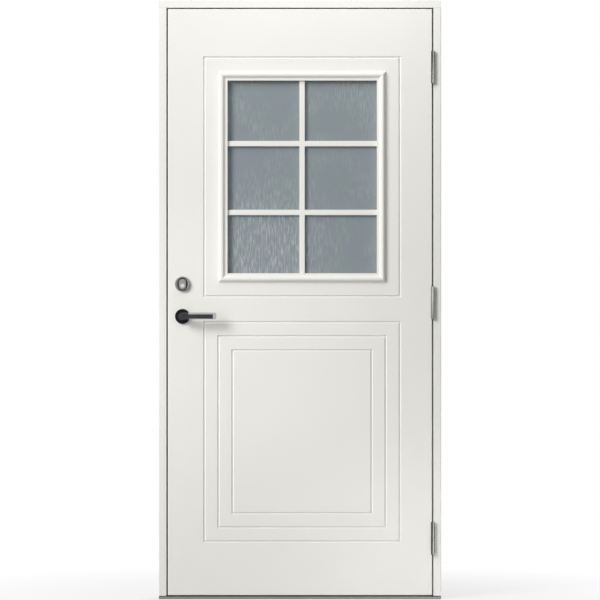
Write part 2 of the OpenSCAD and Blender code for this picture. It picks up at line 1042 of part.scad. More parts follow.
// Turned disc with a round rim and a bore
module disc(bore_r, r) {
    rim = [r - rosette_round, rosette_t - rosette_round];
    turned_out()
        polygon(concat(
            [[bore_r, 0], [r, 0]],
            arc(rim, rosette_round, 0, 90, round_steps),
            [[bore_r, rosette_t]]
        ));
}

module handle_rosette() {
    color(black)
        at_handle()
            difference() {
                disc(neck_r + slip, rosette_r);
                for (side = [-1, 1])
                    translate([0, 0, side * bolt_spread])
                        y_bar(bolt_r + snug, face_y - bolt_bite - snug, face_y + cut);
            }
}

module outside_rosette() {
    handle_rosette();
}

module inside_rosette() {
    inside()
        handle_rosette();
}

// Round neck that swells into a head, a bar with a round tip, and a square socket
module lever() {
    swell = ogee([rosette_t + cut, neck_r], [head_rise, head_r], curve_steps);
    difference() {
        union() {
            turned_out()
                polygon(concat(
                    [[0, -neck_in], [neck_r, -neck_in]],
                    [for (p = swell) [p[1], p[0]]],
                    [[head_r, lever_out - head_edge], [head_r - head_edge, lever_out], [0, lever_out]]
                ));
            intersection() {
                translate([lever_l / 2, bar_y, bar_rise])
                    along_x(lever_l)
                        round_rect(lever_t, lever_h, lever_round);
                translate([0, 0, bar_rise])
                    along_y(bar_y - lever_t, bar_y + lever_t)
                        round_rect(2 * lever_l, lever_h, tip_round);
            }
        }
        along_y(face_y - socket_l - cut, face_y + neck_in + cut)
            square(spindle_s + snug, center = true);
        inlay(snug, cut);
    }
}

// Dark strip let into the front of the head and bar
module inlay(side, front) {
    y0 = face_y - lever_out - front;
    y1 = face_y - lever_out + inlay_t + side;
    y_bar(head_r - 2 * head_edge + side, y0, y1);
    box([0, y0, -inlay_h / 2 - side],
        [lever_l - lever_cap + side, y1, inlay_h / 2 + side]);
}

module outside_lever() {
    color(chrome)
        at_handle()
            lever();
}

module inside_lever() {
    color(chrome)
        inside()
            at_handle()
                lever();
}

module lever_inlays() {
    color(black) {
        at_handle()
            inlay(0, 0);
        inside()
            at_handle()
                inlay(0, 0);
    }
}

module spindle() {
    color(steel)
        at_handle()
            cube([spindle_s, spindle_l, spindle_s], center = true);
}

module follower() {
    color(steel)
        at_handle()
            difference() {
                y_bar(follower_r, -case_t / 2, case_t / 2);
                cube([spindle_s + snug, leaf_t, spindle_s + snug], center = true);
            }
}

// Tapered ring with a dished middle, round the oval cylinder
module cylinder_ring() {
    color(chrome)
        at_cylinder()
            difference() {
                translate([0, 0, plug_drop])
                    turned_out()
                        polygon([
                            [0, 0], [ring_r, 0], [ring_r, ring_foot], [ring_r - ring_taper, ring_t],
                            [ring_r - ring_taper - ring_rim, ring_t], [ring_floor_r, ring_floor],
                            [0, ring_floor]
                        ]);
                along_y(face_y - ring_t - cut, face_y + cut)
                    oval(fit);
            }
}

module outside_cylinder() {
    front = face_y - ring_t + face_inset;
    color(chrome)
        at_cylinder()
            difference() {
                along_y(front, -case_t / 2)
                    oval(0);
                y_bar(plug_r + slip, front - cut, front + plug_l);
            }
}

module key_plug() {
    front = face_y - ring_t + face_inset - plug_proud;
    color(steel)
        at_cylinder()
            difference() {
                y_bar(plug_r, front, front + plug_l);
                box([-key_w / 2, front - cut, -key_h / 2], [key_w / 2, front + key_l, key_h / 2]);
            }
}

module turn_rosette() {
    color(black)
        inside()
            at_cylinder()
                disc(turn_r + slip, ring_r);
}

// Wing on a round boss, with a shaft that ends in a square for the cam
module thumbturn() {
    y0 = leaf_t / 2 + rosette_t + fit;
    color(chrome)
        at_cylinder() {
            y_bar(turn_boss_r, y0, y0 + turn_boss_t);
            y_bar(turn_r, leaf_t / 2 + cut, y0);
            y_bar(turn_shaft_r, case_t / 2, leaf_t / 2 + cut);
            translate([0, (cam_y + case_t / 2) / 2, 0])
                cube([turn_square, case_t / 2 - cam_y, turn_square], center = true);
            along_y(y0 + turn_boss_t, y0 + turn_boss_t + wing_l)
                round_rect(wing_w, wing_h, wing_round);
        }
}

// Hub with an arm that carries the pin, at the drawn-back end of its turn
module lock_cam() {
    color(steel)
        at_cylinder()
            rotate([0, cam_turn / 2, 0])
                difference() {
                    union() {
                        y_bar(cam_hub_r, cam_y, cam_y + cam_t);
                        box([-cam_pin_r, cam_y, 0], [cam_pin_r, cam_y + cam_t, cam_r]);
                        translate([0, 0, cam_r])
                            y_bar(cam_pin_r, -tail_t / 2, cam_y + cam_t);
                    }
                    rotate([0, -cam_turn / 2, 0])
                        cube([turn_square + snug, leaf_t, turn_square + snug], center = true);
                }
}

head_jamb();
hinge_jamb();
lock_jamb();
sill_core();
sill_cover();
weather_seal();
strike_plate();
fixing_sleeves();
frame_fasteners();
hinge_frame_half(hinge_high);  // hinge_top_frame_half
hinge_frame_half(hinge_mid);  // hinge_middle_frame_half
hinge_frame_half(hinge_low);  // hinge_bottom_frame_half
hinge_pins();
hinge_washers();
outer_skin();
inner_skin();
lock_stile();
hinge_stile();
top_rail();
mid_rail();
bottom_rail();
window_lining();
insulation();
bead(0);  // outer_bead_bottom
bead(1);  // outer_bead_left
bead(2);  // outer_bead_top
bead(3);  // outer_bead_right
inner_bead(0);  // inner_bead_bottom
inner_bead(1);  // inner_bead_left
inner_bead(2);  // inner_bead_top
inner_bead(3);  // inner_bead_right
muntin_grille();  // outer_muntin_grille
inner_muntin_grille();
pane(0);  // outer_pane
pane(1);  // middle_pane
pane(2);  // inner_pane
pane_spacers();
glazing_tape();
setting_blocks();
lock_case();
lock_faceplate();
leaf_fasteners();
outside_cylinder();
cylinder_ring();
turn_rosette();
outside_rosette();
inside_rosette();
hinge_leaf_half(hinge_high);  // hinge_top_leaf_half
hinge_leaf_half(hinge_mid);  // hinge_middle_leaf_half
hinge_leaf_half(hinge_low);  // hinge_bottom_leaf_half
outside_lever();
inside_lever();
lever_inlays();
spindle();
follower();
latch_bolt();
dead_bolt();
thumbturn();
lock_cam();
key_plug();
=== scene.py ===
import math

import bmesh
import bpy
from mathutils import Matrix, Vector


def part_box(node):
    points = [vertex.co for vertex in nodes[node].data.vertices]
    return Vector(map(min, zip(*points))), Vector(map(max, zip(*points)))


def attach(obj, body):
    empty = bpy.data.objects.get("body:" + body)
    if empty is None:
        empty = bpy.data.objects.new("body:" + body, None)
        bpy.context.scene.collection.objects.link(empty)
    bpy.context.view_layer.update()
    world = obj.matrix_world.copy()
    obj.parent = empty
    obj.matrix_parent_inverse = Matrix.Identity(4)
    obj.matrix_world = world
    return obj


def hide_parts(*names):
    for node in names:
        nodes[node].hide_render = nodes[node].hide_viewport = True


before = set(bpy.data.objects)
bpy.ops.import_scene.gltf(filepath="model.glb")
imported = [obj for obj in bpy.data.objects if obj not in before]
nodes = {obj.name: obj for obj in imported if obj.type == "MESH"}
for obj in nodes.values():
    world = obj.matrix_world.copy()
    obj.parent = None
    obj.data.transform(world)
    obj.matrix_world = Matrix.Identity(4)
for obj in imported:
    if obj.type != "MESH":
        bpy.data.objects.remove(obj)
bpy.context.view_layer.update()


def newObject(name, data):
    made = bpy.data.objects.new(name, data)
    bpy.context.scene.collection.objects.link(made)
    return made


# view: straight on, long lens
viewSet = {
    "lens": 200.0,
    "sensor": 36.0,
    "pictureWidth": 2.0835,  # metres across at the front of the leaf
    "faceY": -0.031,
    "height": 1.039,
    "farthest": 60.0,
}


def makeCamera(s):
    data = bpy.data.cameras.new("frontView")
    data.lens, data.sensor_width, data.clip_end = s["lens"], s["sensor"], s["farthest"]
    cam = newObject("frontView", data)
    distance = s["pictureWidth"] * s["lens"] / s["sensor"]
    cam.location = (0, s["faceY"] - distance, s["height"])
    cam.rotation_euler = (math.radians(90), 0, 0)
    bpy.context.scene.camera = cam


makeCamera(viewSet)
bpy.context.scene.view_settings.view_transform = "Standard"


# node helpers: a value that is a socket is linked, any other is set
def put(tree, kind, inputs=None, **settings):
    made = tree.nodes.new(kind)
    for key, value in settings.items():
        setattr(made, key, value)
    for key, value in (inputs or {}).items():
        if isinstance(value, bpy.types.NodeSocket):
            tree.links.new(value, made.inputs[key])
        else:
            made.inputs[key].default_value = value
    return made


def feed(tree, node, **sockets):
    for label, socket in sockets.items():
        tree.links.new(socket, node.inputs[label.replace("_", " ")])


def newGroup(kind, name, ins, outs):
    tree = bpy.data.node_groups.new(name, kind)
    for label, socket, value in ins:
        made = tree.interface.new_socket(label, in_out="INPUT", socket_type="NodeSocket" + socket)
        if value is not None:
            made.default_value = value
    for label, socket in outs:
        tree.interface.new_socket(label, in_out="OUTPUT", socket_type="NodeSocket" + socket)
    return tree, tree.nodes.new("NodeGroupInput"), tree.nodes.new("NodeGroupOutput")


def noise(tree, vector, scale, detail=2.0, rough=0.5):
    inputs = {"Vector": vector, "Scale": scale, "Detail": detail, "Roughness": rough}
    return put(tree, "ShaderNodeTexNoise", inputs).outputs["Fac"]


def ramped(tree, value, low, high, toLow=0.0, toHigh=1.0):
    inputs = {"Value": value, "From Min": low, "From Max": high, "To Min": toLow, "To Max": toHigh}
    return put(tree, "ShaderNodeMapRange", inputs).outputs[0]


def maths(tree, operation, a, b):
    return put(tree, "ShaderNodeMath", {0: a, 1: b}, operation=operation).outputs[0]


def vectors(tree, operation, a, b):
    made = put(tree, "ShaderNodeVectorMath", {0: a, 1: b}, operation=operation)
    return made.outputs["Value" if operation == "DISTANCE" else "Vector"]


# sockets 6 and 7 of a colour mix are its two colours
def mixed(tree, factor, a, b):
    a, b = [c if isinstance(c, bpy.types.NodeSocket) else (*c, 1) for c in (a, b)]
    return put(tree, "ShaderNodeMix", {0: factor, 6: a, 7: b}, data_type="RGBA").outputs[2]


def bumped(tree, height, depth):
    return put(tree, "ShaderNodeBump", {"Height": height, "Distance": depth}).outputs[0]


# sprayed paint: slow cloud of tone, and the fine skin that a gun leaves
spraySet = {"cloudDetail": 3.0, "peelDetail": 1.0, "fleck": 55.0, "span": (0.3, 0.7)}


def makeSpray(s):
    tree, gi, go = newGroup(
        "ShaderNodeTree", "sprayedSkin",
        [("Coords", "Vector", None), ("Cloud", "Float", 2.0), ("Peel", "Float", 420.0)],
        [("Tone", "Float"), ("Height", "Float"), ("Dull", "Float")])
    coords = gi.outputs["Coords"]
    cloud = noise(tree, coords, gi.outputs["Cloud"], s["cloudDetail"])
    peel = noise(tree, coords, gi.outputs["Peel"], s["peelDetail"])
    fleck = noise(tree, coords, s["fleck"])
    feed(tree, go, Tone=ramped(tree, cloud, *s["span"]), Height=peel,
         Dull=ramped(tree, fleck, *s["span"]))
    return tree


# timber: rings drawn out along the grain, with pores
grainSet = {
    "wander": 0.8,
    "rings": {"Scale": 0.6, "Distortion": 2.5, "Detail": 2.0},
    "pores": (9.0, 3.0, 0.7),  # scale, detail, roughness
    "poreTone": (0.25, 0.65, 0.55, 1.0),
}


def makeGrain(s):
    tree, gi, go = newGroup(
        "ShaderNodeTree", "timberGrain",
        [("Coords", "Vector", None), ("Across", "Vector", (30, 30, 1.5))],
        [("Tone", "Float"), ("Height", "Float")])
    drawn = vectors(tree, "MULTIPLY", gi.outputs["Coords"], gi.outputs["Across"])
    shifted = vectors(tree, "ADD", drawn, noise(tree, drawn, s["wander"]))
    rings = put(tree, "ShaderNodeTexWave", {"Vector": shifted, **s["rings"]},
                wave_type="RINGS", rings_direction="Z").outputs["Fac"]
    pores = noise(tree, drawn, *s["pores"])
    tone = maths(tree, "MULTIPLY", rings, ramped(tree, pores, *s["poreTone"]))
    feed(tree, go, Tone=tone, Height=pores)
    return tree


# metal drawn or brushed along one axis; with coarse lines on the hinges the streaks become broad
# dark and pale bands, painted reflections
brushedAndBandedSet = {"streak": (1.0, 2.0, 0.6), "smudge": (38.0, 3.0), "smudgeSpan": (0.3, 0.7)}


def makeBrushedAndBanded(s):
    tree, gi, go = newGroup(
        "ShaderNodeTree", "brushedMetalAndPaintedBands",
        [("Coords", "Vector", None), ("Lines", "Vector", (900, 900, 12))],
        [("Streak", "Float"), ("Smudge", "Float")])
    drawn = vectors(tree, "MULTIPLY", gi.outputs["Coords"], gi.outputs["Lines"])
    smudge = noise(tree, gi.outputs["Coords"], *s["smudge"])
    feed(tree, go, Streak=noise(tree, drawn, *s["streak"]),
         Smudge=ramped(tree, smudge, *s["smudgeSpan"]))
    return tree


# rolled glass: short upright ripples that come in patches and crowd round one place
rippleSet = {
    "fine": (1.0, 3.0, 0.6),
    "fineSpan": (0.46, 0.68),
    "patch": 7.0,
    "patchSpan": (0.45, 0.65, 0.05, 0.45),
    "core": 0.08,  # metres round the heart where the ripple is full
    "drift": (11.0, 1.0),
    "driftSpan": (0.35, 0.65),
}


def makeRipple(s):
    tree, gi, go = newGroup(
        "ShaderNodeTree", "uprightRipple",
        [("Coords", "Vector", None), ("Ripple", "Vector", (230, 60, 26)),
         ("Heart", "Vector", (0, 0, 0)), ("Reach", "Float", 0.3)],
        [("Streak", "Float"), ("Height", "Float"), ("Drift", "Float")])
    coords = gi.outputs["Coords"]
    fine = noise(tree, vectors(tree, "MULTIPLY", coords, gi.outputs["Ripple"]), *s["fine"])
    patch = ramped(tree, noise(tree, coords, s["patch"]), *s["patchSpan"])
    away = vectors(tree, "DISTANCE", coords, gi.outputs["Heart"])
    near = ramped(tree, away, s["core"], gi.outputs["Reach"], 1.0, 0.0)
    crowd = maths(tree, "MAXIMUM", patch, near)
    drift = noise(tree, coords, *s["drift"])
    feed(tree, go, Streak=maths(tree, "MULTIPLY", ramped(tree, fine, *s["fineSpan"]), crowd),
         Height=fine, Drift=ramped(tree, drift, *s["driftSpan"]))
    return tree


spray, grain = makeSpray(spraySet), makeGrain(grainSet)
brushedAndBanded, ripple = makeBrushedAndBanded(brushedAndBandedSet), makeRipple(rippleSet)


# finishes
def startMaterial(name, **sockets):
    mat = bpy.data.materials.new(name)
    mat.use_nodes = True
    tree = mat.node_tree
    shader = tree.nodes["Principled BSDF"]
    for key, value in sockets.items():
        shader.inputs[key.replace("_", " ")].default_value = value
    coords = tree.nodes.new("ShaderNodeTexCoord").outputs["Object"]
    return mat, tree, shader, coords


def usedGroup(tree, group, coords, **values):
    return put(tree, "ShaderNodeGroup", {"Coords": coords, **values}, node_tree=group).outputs


# sprayed: white paint of frame and leaf, gloss black of the rosettes, black of the inlays
paintSet = {
    "tones": ((0.865, 0.858, 0.815), (0.835, 0.828, 0.78)),
    "rough": (0.30, 0.42),
    "shine": 0.45,
    "skin": {"Cloud": 2.2, "Peel": 420.0},
    "depth": 0.00004,
}
glossSet = {
    "tones": ((0.004, 0.004, 0.005), (0.009, 0.009, 0.011)),
    "rough": (0.12, 0.2),
    "shine": 0.12,
    "skin": {"Cloud": 60.0, "Peel": 700.0},
    "depth": 0.00001,
}
inlaySet = {
    **glossSet,
    "tones": ((0.018, 0.018, 0.022), (0.032, 0.032, 0.04)),
    "shine": 0.3,
}


def sprayedFinish(name, s):
    mat, tree, shader, coords = startMaterial(name, Specular_IOR_Level=s["shine"])
    skin = usedGroup(tree, spray, coords, **s["skin"])
    feed(tree, shader, Base_Color=mixed(tree, skin["Tone"], *s["tones"]),
         Roughness=ramped(tree, skin["Dull"], 0, 1, *s["rough"]),
         Normal=bumped(tree, skin["Height"], s["depth"]))
    return mat


# timber inside the leaf, and the hardwood of the sill
timberSet = {"pale": (0.62, 0.43, 0.24), "deep": (0.40, 0.245, 0.115), "rough": 0.6}
hardwoodSet = {"pale": (0.30, 0.15, 0.075), "deep": (0.17, 0.075, 0.035), "rough": 0.5}
poreDepth = 0.0001
upright, level = (30, 30, 1.5), (1.5, 30, 30)  # which way the grain is drawn out


def timberFinish(name, s, across):
    mat, tree, shader, coords = startMaterial(name, Roughness=s["rough"])
    wood = usedGroup(tree, grain, coords, Across=across)
    feed(tree, shader, Base_Color=mixed(tree, wood["Tone"], s["deep"], s["pale"]),
         Normal=bumped(tree, wood["Height"], poreDepth))
    return mat


# stiles and rails: painted on the outside of the leaf, bare timber inside it
edgeSet = {"film": 0.0012, "fade": 1.2, "rough": (0.6, 0.36)}


def edgeFinish(name, s, paint, wood, across):
    mat, tree, shader, coords = startMaterial(name, Specular_IOR_Level=paint["shine"])
    skin = usedGroup(tree, spray, coords, **paint["skin"])
    inner = usedGroup(tree, grain, coords, Across=across)
    low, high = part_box("outer_skin")
    part = put(tree, "ShaderNodeSeparateXYZ", {0: coords}).outputs
    full, gone = s["film"], s["fade"] * s["film"]
    hits = []
    for i in (0, 2):  # the sides, then bottom and top
        hits.append(ramped(tree, part[i], low[i] + full, low[i] + gone, 1, 0))
        hits.append(ramped(tree, part[i], high[i] - gone, high[i] - full))
    outside = hits[0]
    for hit in hits[1:]:
        outside = maths(tree, "MAXIMUM", outside, hit)
    painted = mixed(tree, skin["Tone"], *paint["tones"])
    bare = mixed(tree, inner["Tone"], wood["deep"], wood["pale"])
    feed(tree, shader, Base_Color=mixed(tree, outside, bare, painted),
         Roughness=ramped(tree, outside, 0, 1, *s["rough"]),
         Normal=bumped(tree, skin["Height"], paint["depth"]))
    return mat


# metals: lines gives the scale of the streaks on each axis, band where they turn pale; the hinges'
# narrow band makes sharp stripes of painted reflection
metalBase = {"band": (0.0, 1.0), "depth": 0.00001}
metals = {
    # hinge barrels: the upright dark and pale bands, a few millimetres wide, are painted
    # reflections on the steel
    "hingeSteel": {"pale": (0.40, 0.395, 0.38), "deep": (0.01, 0.01, 0.009), "rough": (0.24, 0.34),
                   "lines": (215, 215, 2.0), "band": (0.45, 0.55)},
    "satinSteel": {"pale": (0.60, 0.60, 0.60), "deep": (0.46, 0.46, 0.465), "rough": (0.28, 0.4),
                   "lines": (900, 900, 10)},
    "zincSteel": {"pale": (0.56, 0.55, 0.50), "deep": (0.42, 0.42, 0.40), "rough": (0.35, 0.5),
                  "lines": (60, 60, 60)},
    "brightChrome": {"pale": (0.42, 0.42, 0.425), "deep": (0.35, 0.35, 0.36), "rough": (0.05, 0.1),
                     "lines": (120, 120, 120), "depth": 0.000002},
    "ringSteel": {"pale": (0.46, 0.45, 0.455), "deep": (0.36, 0.355, 0.36), "rough": (0.2, 0.3),
                  "lines": (300, 300, 300)},
    "faceSteel": {"pale": (0.37, 0.36, 0.37), "deep": (0.23, 0.222, 0.235), "rough": (0.22, 0.34),
                  "lines": (500, 60, 60)},
    "plugNickel": {"pale": (0.74, 0.72, 0.69), "deep": (0.58, 0.565, 0.54), "rough": (0.14, 0.22),
                   "lines": (300, 300, 300)},
    "sillAluminium": {"pale": (0.28, 0.272, 0.26), "deep": (0.215, 0.209, 0.2),
                      "rough": (0.36, 0.48), "lines": (10, 800, 800)},
    "spacerAluminium": {"pale": (0.62, 0.62, 0.63), "deep": (0.5, 0.5, 0.51), "rough": (0.3, 0.42),
                        "lines": (300, 300, 300)},
}


def metalFinish(name, s):
    mat, tree, shader, coords = startMaterial(name, Metallic=1.0)
    lined = usedGroup(tree, brushedAndBanded, coords, Lines=s["lines"])
    tone = ramped(tree, lined["Streak"], *s["band"])
    feed(tree, shader, Base_Color=mixed(tree, tone, s["deep"], s["pale"]),
         Roughness=ramped(tree, lined["Smudge"], 0, 1, *s["rough"]),
         Normal=bumped(tree, lined["Streak"], s["depth"]))
    return mat


# bright metal with a dark part round an axis that runs in and out of the leaf: the black neck of
# the levers, and painted shade in the dish of the lock ring
blackPartAndShadeBase = {"shine": 0.34, "lines": (300, 300, 300), "edge": 0.0001, "depth": 0.000004}
blackPartsAndShade = {
    "leverChrome": {"about": "outside_rosette", "radius": 0.0245, "squash": 1.0,
                    "pale": (0.49, 0.49, 0.495), "deep": (0.42, 0.42, 0.43),
                    "blackAndShade": (0.036, 0.037, 0.04), "rough": (0.07, 0.14)},
    # the black inside the dish round the oval cylinder is painted shade of the recess
    "lockRing": {"about": "cylinder_ring", "radius": 0.0185, "squash": 0.855,
                 "pale": (0.40, 0.39, 0.392), "deep": (0.24, 0.236, 0.24),
                 "blackAndShade": (0.01, 0.01, 0.01), "rough": (0.2, 0.3)},
}


def blackPartAndShadeFinish(name, s):
    mat, tree, shader, coords = startMaterial(name, Specular_IOR_Level=s["shine"])
    lined = usedGroup(tree, brushedAndBanded, coords, Lines=s["lines"])
    low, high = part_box(s["about"])
    axis, squash, radius = (low + high) / 2, s["squash"], s["radius"]
    flat = vectors(tree, "MULTIPLY", coords, (1, 0, squash))
    away = vectors(tree, "DISTANCE", flat, (axis.x, 0, axis.z * squash))
    bright = ramped(tree, away, radius - s["edge"], radius + s["edge"])
    metal = mixed(tree, lined["Streak"], s["deep"], s["pale"])
    feed(tree, shader, Base_Color=mixed(tree, bright, s["blackAndShade"], metal), Metallic=bright,
         Roughness=ramped(tree, lined["Smudge"], 0, 1, *s["rough"]),
         Normal=bumped(tree, lined["Streak"], s["depth"]))
    return mat


# glass: the outer pane is rolled and nearly opaque, the other two are clear
refraction = 1.5
glassSet = {
    "blue": (0.262, 0.294, 0.329),
    "green": (0.258, 0.305, 0.313),
    "streak": (0.475, 0.50, 0.51),
    "through": 0.06,
    "shine": 0.15,
    "rough": 0.22,
    "depth": 0.0006,
    "ripple": (230, 60, 26),
    "heart": (0.24, 0.15),  # where the ripple is strongest, as shares of the pane
    "reach": 0.32,
}
clearSet = {
    "pale": (0.95, 0.975, 0.965),
    "deep": (0.92, 0.955, 0.945),
    "skin": {"Cloud": 3.0, "Peel": 20.0},
}


def rolledGlassFinish(name, s):
    mat, tree, shader, coords = startMaterial(
        name, Transmission_Weight=s["through"], IOR=refraction, Roughness=s["rough"],
        Specular_IOR_Level=s["shine"])
    low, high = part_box("outer_pane")
    across, up = s["heart"]
    heart = (low.x + across * (high.x - low.x), low.y, low.z + up * (high.z - low.z))
    rolled = usedGroup(tree, ripple, coords, Ripple=s["ripple"], Heart=heart, Reach=s["reach"])
    body = mixed(tree, rolled["Drift"], s["blue"], s["green"])
    feed(tree, shader, Base_Color=mixed(tree, rolled["Streak"], body, s["streak"]),
         Normal=bumped(tree, rolled["Height"], s["depth"]))
    return mat


def clearGlassFinish(name, s):
    mat, tree, shader, coords = startMaterial(name, Transmission_Weight=1.0, IOR=refraction,
                                              Roughness=0.0)
    skin = usedGroup(tree, spray, coords, **s["skin"])
    feed(tree, shader, Base_Color=mixed(tree, skin["Tone"], s["pale"], s["deep"]))
    return mat


# rubber, foam and tape: small cells
cellSpan = (0, 0.8)
softs = {
    "rubber": {"pale": (0.03, 0.03, 0.032), "deep": (0.018, 0.018, 0.02), "rough": 0.62,
               "cells": 900.0, "depth": 0.00004},
    "foam": {"pale": (0.86, 0.86, 0.85), "deep": (0.62, 0.62, 0.61), "rough": 0.85,
             "cells": 260.0, "depth": 0.0006},
    "tape": {"pale": (0.24, 0.24, 0.24), "deep": (0.14, 0.14, 0.14), "rough": 0.8,
             "cells": 1200.0, "depth": 0.0001},
}


def softFinish(name, s):
    mat, tree, shader, coords = startMaterial(name, Roughness=s["rough"])
    cells = put(tree, "ShaderNodeTexVoronoi", {"Vector": coords, "Scale": s["cells"]})
    depth = cells.outputs["Distance"]
    feed(tree, shader, Normal=bumped(tree, depth, s["depth"]),
         Base_Color=mixed(tree, ramped(tree, depth, *cellSpan), s["pale"], s["deep"]))
    return mat


finishes = {
    "whitePaint": sprayedFinish("whitePaint", paintSet),
    "glossBlack": sprayedFinish("glossBlack", glossSet),
    "inlayBlack": sprayedFinish("inlayBlack", inlaySet),
    "levelTimber": timberFinish("levelTimber", timberSet, level),
    "hardwood": timberFinish("hardwood", hardwoodSet, level),
    "uprightEdge": edgeFinish("uprightEdge", edgeSet, paintSet, timberSet, upright),
    "levelEdge": edgeFinish("levelEdge", edgeSet, paintSet, timberSet, level),
    "patternedGlass": rolledGlassFinish("patternedGlass", glassSet),
    "clearGlass": clearGlassFinish("clearGlass", clearSet),
}
for name in metals:
    finishes[name] = metalFinish(name, {**metalBase, **metals[name]})
for name in blackPartsAndShade:
    finishes[name] = blackPartAndShadeFinish(name, {**blackPartAndShadeBase, **blackPartsAndShade[name]})
for name in softs:
    finishes[name] = softFinish(name, softs[name])
print("made", len(finishes), "finishes")


wearing = {
    "whitePaint": ["head_jamb", "hinge_jamb", "lock_jamb", "outer_skin", "inner_skin",
                   "outer_bead_bottom", "outer_bead_left", "outer_bead_top", "outer_bead_right",
                   "inner_bead_bottom", "inner_bead_left", "inner_bead_top", "inner_bead_right",
                   "outer_muntin_grille", "inner_muntin_grille"],
    "uprightEdge": ["lock_stile", "hinge_stile"],
    "levelEdge": ["top_rail", "bottom_rail"],
    "levelTimber": ["mid_rail", "window_lining"],
    "hardwood": ["sill_core"],
    "sillAluminium": ["sill_cover"],
    "rubber": ["weather_seal", "setting_blocks"],
    "tape": ["glazing_tape"],
    "foam": ["insulation"],
    "patternedGlass": ["outer_pane"],
    "clearGlass": ["middle_pane", "inner_pane"],
    "spacerAluminium": ["pane_spacers"],
    "hingeSteel": ["hinge_top_frame_half", "hinge_middle_frame_half", "hinge_bottom_frame_half",
                   "hinge_top_leaf_half", "hinge_middle_leaf_half", "hinge_bottom_leaf_half",
                   "hinge_pins", "hinge_washers"],
    "satinSteel": ["strike_plate", "lock_faceplate", "frame_fasteners", "leaf_fasteners"],
    "zincSteel": ["fixing_sleeves", "lock_case", "spindle", "follower", "lock_cam"],
    "leverChrome": ["outside_lever", "inside_lever"],
    "lockRing": ["cylinder_ring"],
    "brightChrome": ["latch_bolt", "dead_bolt", "thumbturn"],
    "ringSteel": ["turn_rosette"],
    "faceSteel": ["outside_cylinder"],
    "plugNickel": ["key_plug"],
    "glossBlack": ["outside_rosette", "inside_rosette"],
    "inlayBlack": ["lever_inlays"],
}
for finish, members in wearing.items():
    for member in members:
        mesh = nodes[member].data
        mesh.materials.clear()
        mesh.materials.append(finishes[finish])
print("dressed", sum(map(len, wearing.values())), "solids")


# screws: countersunk, with a cross recess and a rolled thread, set where the solids have them
screwSet = {
    "head": 0.004,
    "headDepth": 0.002,
    "shank": 0.002,
    "root": 0.0014,
    "pitch": 0.0016,
    "length": 0.0215,
    "tip": 0.004,
    "softEdge": 0.0002,
    "recessDepth": 0.0014,
    "recessReach": 0.0024,
    "recessWidth": 0.0009,
    "recessTaper": (1.3, 0.55),  # size of the cutter at its mouth and at its end
    "sides": 24,
    "weld": 1e-6,
    "seed": 7,
}


def looseParts(node, weld):
    bm = bmesh.new()
    bm.from_mesh(nodes[node].data)
    bmesh.ops.remove_doubles(bm, verts=bm.verts, dist=weld)
    parts, seen = [], set()
    for first in bm.verts:
        if first in seen:
            continue
        seen.add(first)
        found = [first]
        for vert in found:
            for edge in vert.link_edges:
                other = edge.other_vert(vert)
                if other not in seen:
                    seen.add(other)
                    found.append(other)
        parts.append([vert.co.copy() for vert in found])
    bm.free()
    return parts


# closed skin over rings of points that have the same count
def skinned(bm, rings):
    rings = [[bm.verts.new(point) for point in ring] for ring in rings]
    for a, b in zip(rings, rings[1:]):
        for i in range(len(a)):
            j = (i + 1) % len(a)
            bm.faces.new((a[i], a[j], b[j], b[i]))
    bm.faces.new(rings[0])
    bm.faces.new(rings[-1])
    bmesh.ops.recalc_face_normals(bm, faces=bm.faces)


# turned shape along +X from (x, radius) pairs
def turned(bm, profile, sides):
    angles = [2 * math.pi * i / sides for i in range(sides)]
    skinned(bm, [[(x, r * math.cos(a), r * math.sin(a)) for a in angles] for x, r in profile])


def meshFrom(bm, name):
    mesh = bpy.data.meshes.new(name)
    bm.to_mesh(mesh)
    bm.free()
    return mesh


def dropObject(obj):
    mesh = obj.data
    bpy.data.objects.remove(obj)
    bpy.data.meshes.remove(mesh)


def evaluatedMesh(obj):
    graph = bpy.context.evaluated_depsgraph_get()
    return bpy.data.meshes.new_from_object(obj.evaluated_get(graph))


def screwProfile(s):
    soft, pitch = s["softEdge"], s["pitch"]
    profile = [(0, s["head"] - soft), (soft, s["head"]), (s["headDepth"], s["shank"])]
    x = s["headDepth"] + pitch
    while x < s["length"] - s["tip"]:
        profile += [(x, s["root"]), (x + pitch / 2, s["shank"])]
        x += pitch
    return profile + [(x, s["root"]), (s["length"] - soft, soft)]


def crossPrism(s):
    bm = bmesh.new()
    w, r, depth = s["recessWidth"] / 2, s["recessReach"], s["recessDepth"]
    outline = [(w, r), (w, w), (r, w), (r, -w), (w, -w), (w, -r),
               (-w, -r), (-w, -w), (-r, -w), (-r, w), (-w, w), (-w, r)]
    ends = zip((-depth, depth), s["recessTaper"])
    skinned(bm, [[(x, k * y, k * z) for y, z in outline] for x, k in ends])
    return newObject("crossPrism", meshFrom(bm, "crossPrism"))


def makeScrew(s):
    bm = bmesh.new()
    turned(bm, screwProfile(s), s["sides"])
    blank, cross = newObject("screwBlank", meshFrom(bm, "screwBlank")), crossPrism(s)
    cutting = blank.modifiers.new("recess", "BOOLEAN")
    cutting.object, cutting.operation, cutting.solver = cross, "DIFFERENCE", "EXACT"
    screw = newObject("screwPattern", evaluatedMesh(blank))
    dropObject(blank)
    dropObject(cross)
    return screw


def realized(tree, placed, finish):
    real = put(tree, "GeometryNodeRealizeInstances", {"Geometry": placed.outputs[0]})
    shown = put(tree, "GeometryNodeSetMaterial",
                {"Geometry": real.outputs[0], "Material": finish})
    return shown.outputs[0]


